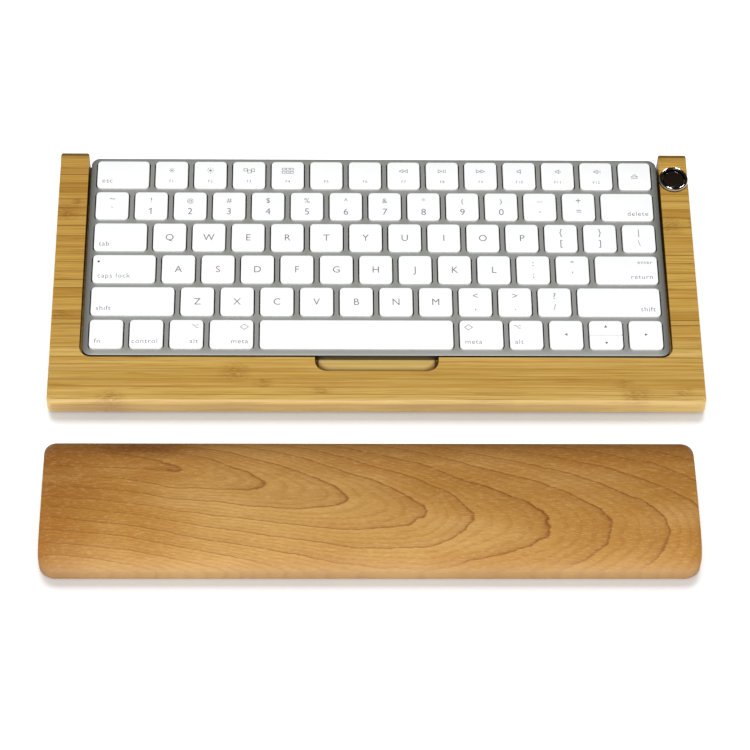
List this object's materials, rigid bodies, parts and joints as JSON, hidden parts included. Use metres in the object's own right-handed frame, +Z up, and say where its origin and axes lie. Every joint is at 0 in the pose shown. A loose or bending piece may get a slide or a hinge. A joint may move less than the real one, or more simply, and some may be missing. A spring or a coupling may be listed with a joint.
{
  "type": "low-profile keyboard in a bamboo tray",
  "caption": "Low-profile wireless keyboard with white scissor keys in a grey plate, set flush in a laminated bamboo tray, with a separate wooden palm rest in front.",
  "frame": {"origin": "on the table, under the middle of the whole set's bounding box", "axes": "+X along the key rows to the typist's right, +Y away from the typist, +Z up"},
  "size_m": [0.3096, 0.2348, 0.0184],
  "materials": {
    "keycap": "fine satin, near-white moulded caps with grey legends",
    "aluminium": "grey satin anodised plate",
    "cover_plastic": "light grey moulded plastic",
    "silicone": "translucent silicone sheet",
    "spring_steel": "thin rolled steel",
    "circuit_board": "green lacquered circuit board",
    "battery_foil": "dark pouch foil",
    "bamboo": "laminated bamboo strips along the width, satin lacquer",
    "palm_wood": "oiled solid wood with arched grain along the width",
    "chrome": "polished",
    "dark_glass": "dark glossy dome",
    "rubber": "matt black rubber"
  },
  "bodies": {
    "tray": {"bamboo_tray": "bamboo", "stud_ring": "chrome", "stud_dome": "dark_glass", "anti_slip_mat": "rubber"},
    "keyboard": {"top_case": "aluminium", "bottom_cover": "cover_plastic", "dome_sheet": "silicone", "switch_plate": "spring_steel", "battery": "battery_foil", "logic_board": "circuit_board"},
    "palm_rest": {"palm_rest": "palm_wood"},
    "power_switch": {"power_switch": "cover_plastic"},
    "key_space": {"key_space": "keycap"},
    "key_arrow_left": {"key_arrow_left": "keycap"},
    "key_arrow_up": {"key_arrow_up": "keycap"},
    "key_arrow_down": {"key_arrow_down": "keycap"},
    "key_arrow_right": {"key_arrow_right": "keycap"},
    "function_keys": {"function_keys": "keycap"},
    "number_keys": {"number_keys": "keycap"},
    "left_modifier_keys": {"left_modifier_keys": "keycap"},
    "right_modifier_keys": {"right_modifier_keys": "keycap"},
    "key_shift_left": {"key_shift_left": "keycap"},
    "key_shift_right": {"key_shift_right": "keycap"},
    "key_caps_lock": {"key_caps_lock": "keycap"},
    "key_return": {"key_return": "keycap"},
    "key_tab": {"key_tab": "keycap"},
    "key_a": {"key_a": "keycap"},
    "key_b": {"key_b": "keycap"},
    "key_backslash": {"key_backslash": "keycap"},
    "key_bracket_left": {"key_bracket_left": "keycap"},
    "key_bracket_right": {"key_bracket_right": "keycap"},
    "key_c": {"key_c": "keycap"},
    "key_comma": {"key_comma": "keycap"},
    "key_d": {"key_d": "keycap"},
    "key_e": {"key_e": "keycap"},
    "key_f": {"key_f": "keycap"},
    "key_g": {"key_g": "keycap"},
    "key_h": {"key_h": "keycap"},
    "key_i": {"key_i": "keycap"},
    "key_j": {"key_j": "keycap"},
    "key_k": {"key_k": "keycap"},
    "key_l": {"key_l": "keycap"},
    "key_m": {"key_m": "keycap"},
    "key_n": {"key_n": "keycap"},
    "key_o": {"key_o": "keycap"},
    "key_p": {"key_p": "keycap"},
    "key_period": {"key_period": "keycap"},
    "key_q": {"key_q": "keycap"},
    "key_quote": {"key_quote": "keycap"},
    "key_r": {"key_r": "keycap"},
    "key_s": {"key_s": "keycap"},
    "key_semicolon": {"key_semicolon": "keycap"},
    "key_slash": {"key_slash": "keycap"},
    "key_t": {"key_t": "keycap"},
    "key_u": {"key_u": "keycap"},
    "key_v": {"key_v": "keycap"},
    "key_w": {"key_w": "keycap"},
    "key_x": {"key_x": "keycap"},
    "key_y": {"key_y": "keycap"},
    "key_z": {"key_z": "keycap"}
  },
  "joints": [
    {"name": "keyboard_lift", "type": "slide", "parent": "tray", "child": "keyboard", "axis": [0, 0, 1], "range_m": [0, 0.03]},
    {"name": "palm_rest_slide", "type": "slide", "parent": "tray", "child": "palm_rest", "axis": [0, 1, 0], "range_m": [-0.05, 0.0215]},
    {"name": "power_switch_slide", "type": "slide", "parent": "keyboard", "child": "power_switch", "axis": [1, 0, 0], "range_m": [0, 0.0025]},
    {"name": "key_space_press", "type": "slide", "parent": "keyboard", "child": "key_space", "axis": [0, 0.0592, -0.9982], "range_m": [0, 0.001], "stiffness_N_per_m": 300, "springref_m": -0.001},
    {"name": "key_arrow_left_press", "type": "slide", "parent": "keyboard", "child": "key_arrow_left", "axis": [0, 0.0592, -0.9982], "range_m": [0, 0.001], "stiffness_N_per_m": 300, "springref_m": -0.001},
    {"name": "key_arrow_up_press", "type": "slide", "parent": "keyboard", "child": "key_arrow_up", "axis": [0, 0.0592, -0.9982], "range_m": [0, 0.001], "stiffness_N_per_m": 300, "springref_m": -0.001},
    {"name": "key_arrow_down_press", "type": "slide", "parent": "keyboard", "child": "key_arrow_down", "axis": [0, 0.0592, -0.9982], "range_m": [0, 0.001], "stiffness_N_per_m": 300, "springref_m": -0.001},
    {"name": "key_arrow_right_press", "type": "slide", "parent": "keyboard", "child": "key_arrow_right", "axis": [0, 0.0592, -0.9982], "range_m": [0, 0.001], "stiffness_N_per_m": 300, "springref_m": -0.001},
    {"name": "function_keys_press", "type": "slide", "parent": "keyboard", "child": "function_keys", "axis": [0, 0.0592, -0.9982], "range_m": [0, 0.001], "stiffness_N_per_m": 4200, "springref_m": -0.001},
    {"name": "number_keys_press", "type": "slide", "parent": "keyboard", "child": "number_keys", "axis": [0, 0.0592, -0.9982], "range_m": [0, 0.001], "stiffness_N_per_m": 4200, "springref_m": -0.001},
    {"name": "left_modifier_keys_press", "type": "slide", "parent": "keyboard", "child": "left_modifier_keys", "axis": [0, 0.0592, -0.9982], "range_m": [0, 0.001], "stiffness_N_per_m": 1200, "springref_m": -0.001},
    {"name": "right_modifier_keys_press", "type": "slide", "parent": "keyboard", "child": "right_modifier_keys", "axis": [0, 0.0592, -0.9982], "range_m": [0, 0.001], "stiffness_N_per_m": 600, "springref_m": -0.001},
    {"name": "key_shift_left_press", "type": "slide", "parent": "keyboard", "child": "key_shift_left", "axis": [0, 0.0592, -0.9982], "range_m": [0, 0.001], "stiffness_N_per_m": 300, "springref_m": -0.001},
    {"name": "key_shift_right_press", "type": "slide", "parent": "keyboard", "child": "key_shift_right", "axis": [0, 0.0592, -0.9982], "range_m": [0, 0.001], "stiffness_N_per_m": 300, "springref_m": -0.001},
    {"name": "key_caps_lock_press", "type": "slide", "parent": "keyboard", "child": "key_caps_lock", "axis": [0, 0.0592, -0.9982], "range_m": [0, 0.001], "stiffness_N_per_m": 300, "springref_m": -0.001},
    {"name": "key_return_press", "type": "slide", "parent": "keyboard", "child": "key_return", "axis": [0, 0.0592, -0.9982], "range_m": [0, 0.001], "stiffness_N_per_m": 300, "springref_m": -0.001},
    {"name": "key_tab_press", "type": "slide", "parent": "keyboard", "child": "key_tab", "axis": [0, 0.0592, -0.9982], "range_m": [0, 0.001], "stiffness_N_per_m": 300, "springref_m": -0.001},
    {"name": "key_a_press", "type": "slide", "parent": "keyboard", "child": "key_a", "axis": [0, 0.0592, -0.9982], "range_m": [0, 0.001], "stiffness_N_per_m": 300, "springref_m": -0.001},
    {"name": "key_b_press", "type": "slide", "parent": "keyboard", "child": "key_b", "axis": [0, 0.0592, -0.9982], "range_m": [0, 0.001], "stiffness_N_per_m": 300, "springref_m": -0.001},
    {"name": "key_backslash_press", "type": "slide", "parent": "keyboard", "child": "key_backslash", "axis": [0, 0.0592, -0.9982], "range_m": [0, 0.001], "stiffness_N_per_m": 300, "springref_m": -0.001},
    {"name": "key_bracket_left_press", "type": "slide", "parent": "keyboard", "child": "key_bracket_left", "axis": [0, 0.0592, -0.9982], "range_m": [0, 0.001], "stiffness_N_per_m": 300, "springref_m": -0.001},
    {"name": "key_bracket_right_press", "type": "slide", "parent": "keyboard", "child": "key_bracket_right", "axis": [0, 0.0592, -0.9982], "range_m": [0, 0.001], "stiffness_N_per_m": 300, "springref_m": -0.001},
    {"name": "key_c_press", "type": "slide", "parent": "keyboard", "child": "key_c", "axis": [0, 0.0592, -0.9982], "range_m": [0, 0.001], "stiffness_N_per_m": 300, "springref_m": -0.001},
    {"name": "key_comma_press", "type": "slide", "parent": "keyboard", "child": "key_comma", "axis": [0, 0.0592, -0.9982], "range_m": [0, 0.001], "stiffness_N_per_m": 300, "springref_m": -0.001},
    {"name": "key_d_press", "type": "slide", "parent": "keyboard", "child": "key_d", "axis": [0, 0.0592, -0.9982], "range_m": [0, 0.001], "stiffness_N_per_m": 300, "springref_m": -0.001},
    {"name": "key_e_press", "type": "slide", "parent": "keyboard", "child": "key_e", "axis": [0, 0.0592, -0.9982], "range_m": [0, 0.001], "stiffness_N_per_m": 300, "springref_m": -0.001},
    {"name": "key_f_press", "type": "slide", "parent": "keyboard", "child": "key_f", "axis": [0, 0.0592, -0.9982], "range_m": [0, 0.001], "stiffness_N_per_m": 300, "springref_m": -0.001},
    {"name": "key_g_press", "type": "slide", "parent": "keyboard", "child": "key_g", "axis": [0, 0.0592, -0.9982], "range_m": [0, 0.001], "stiffness_N_per_m": 300, "springref_m": -0.001},
    {"name": "key_h_press", "type": "slide", "parent": "keyboard", "child": "key_h", "axis": [0, 0.0592, -0.9982], "range_m": [0, 0.001], "stiffness_N_per_m": 300, "springref_m": -0.001},
    {"name": "key_i_press", "type": "slide", "parent": "keyboard", "child": "key_i", "axis": [0, 0.0592, -0.9982], "range_m": [0, 0.001], "stiffness_N_per_m": 300, "springref_m": -0.001},
    {"name": "key_j_press", "type": "slide", "parent": "keyboard", "child": "key_j", "axis": [0, 0.0592, -0.9982], "range_m": [0, 0.001], "stiffness_N_per_m": 300, "springref_m": -0.001},
    {"name": "key_k_press", "type": "slide", "parent": "keyboard", "child": "key_k", "axis": [0, 0.0592, -0.9982], "range_m": [0, 0.001], "stiffness_N_per_m": 300, "springref_m": -0.001},
    {"name": "key_l_press", "type": "slide", "parent": "keyboard", "child": "key_l", "axis": [0, 0.0592, -0.9982], "range_m": [0, 0.001], "stiffness_N_per_m": 300, "springref_m": -0.001},
    {"name": "key_m_press", "type": "slide", "parent": "keyboard", "child": "key_m", "axis": [0, 0.0592, -0.9982], "range_m": [0, 0.001], "stiffness_N_per_m": 300, "springref_m": -0.001},
    {"name": "key_n_press", "type": "slide", "parent": "keyboard", "child": "key_n", "axis": [0, 0.0592, -0.9982], "range_m": [0, 0.001], "stiffness_N_per_m": 300, "springref_m": -0.001},
    {"name": "key_o_press", "type": "slide", "parent": "keyboard", "child": "key_o", "axis": [0, 0.0592, -0.9982], "range_m": [0, 0.001], "stiffness_N_per_m": 300, "springref_m": -0.001},
    {"name": "key_p_press", "type": "slide", "parent": "keyboard", "child": "key_p", "axis": [0, 0.0592, -0.9982], "range_m": [0, 0.001], "stiffness_N_per_m": 300, "springref_m": -0.001},
    {"name": "key_period_press", "type": "slide", "parent": "keyboard", "child": "key_period", "axis": [0, 0.0592, -0.9982], "range_m": [0, 0.001], "stiffness_N_per_m": 300, "springref_m": -0.001},
    {"name": "key_q_press", "type": "slide", "parent": "keyboard", "child": "key_q", "axis": [0, 0.0592, -0.9982], "range_m": [0, 0.001], "stiffness_N_per_m": 300, "springref_m": -0.001},
    {"name": "key_quote_press", "type": "slide", "parent": "keyboard", "child": "key_quote", "axis": [0, 0.0592, -0.9982], "range_m": [0, 0.001], "stiffness_N_per_m": 300, "springref_m": -0.001},
    {"name": "key_r_press", "type": "slide", "parent": "keyboard", "child": "key_r", "axis": [0, 0.0592, -0.9982], "range_m": [0, 0.001], "stiffness_N_per_m": 300, "springref_m": -0.001},
    {"name": "key_s_press", "type": "slide", "parent": "keyboard", "child": "key_s", "axis": [0, 0.0592, -0.9982], "range_m": [0, 0.001], "stiffness_N_per_m": 300, "springref_m": -0.001},
    {"name": "key_semicolon_press", "type": "slide", "parent": "keyboard", "child": "key_semicolon", "axis": [0, 0.0592, -0.9982], "range_m": [0, 0.001], "stiffness_N_per_m": 300, "springref_m": -0.001},
    {"name": "key_slash_press", "type": "slide", "parent": "keyboard", "child": "key_slash", "axis": [0, 0.0592, -0.9982], "range_m": [0, 0.001], "stiffness_N_per_m": 300, "springref_m": -0.001},
    {"name": "key_t_press", "type": "slide", "parent": "keyboard", "child": "key_t", "axis": [0, 0.0592, -0.9982], "range_m": [0, 0.001], "stiffness_N_per_m": 300, "springref_m": -0.001},
    {"name": "key_u_press", "type": "slide", "parent": "keyboard", "child": "key_u", "axis": [0, 0.0592, -0.9982], "range_m": [0, 0.001], "stiffness_N_per_m": 300, "springref_m": -0.001},
    {"name": "key_v_press", "type": "slide", "parent": "keyboard", "child": "key_v", "axis": [0, 0.0592, -0.9982], "range_m": [0, 0.001], "stiffness_N_per_m": 300, "springref_m": -0.001},
    {"name": "key_w_press", "type": "slide", "parent": "keyboard", "child": "key_w", "axis": [0, 0.0592, -0.9982], "range_m": [0, 0.001], "stiffness_N_per_m": 300, "springref_m": -0.001},
    {"name": "key_x_press", "type": "slide", "parent": "keyboard", "child": "key_x", "axis": [0, 0.0592, -0.9982], "range_m": [0, 0.001], "stiffness_N_per_m": 300, "springref_m": -0.001},
    {"name": "key_y_press", "type": "slide", "parent": "keyboard", "child": "key_y", "axis": [0, 0.0592, -0.9982], "range_m": [0, 0.001], "stiffness_N_per_m": 300, "springref_m": -0.001},
    {"name": "key_z_press", "type": "slide", "parent": "keyboard", "child": "key_z", "axis": [0, 0.0592, -0.9982], "range_m": [0, 0.001], "stiffness_N_per_m": 300, "springref_m": -0.001}
  ]
}
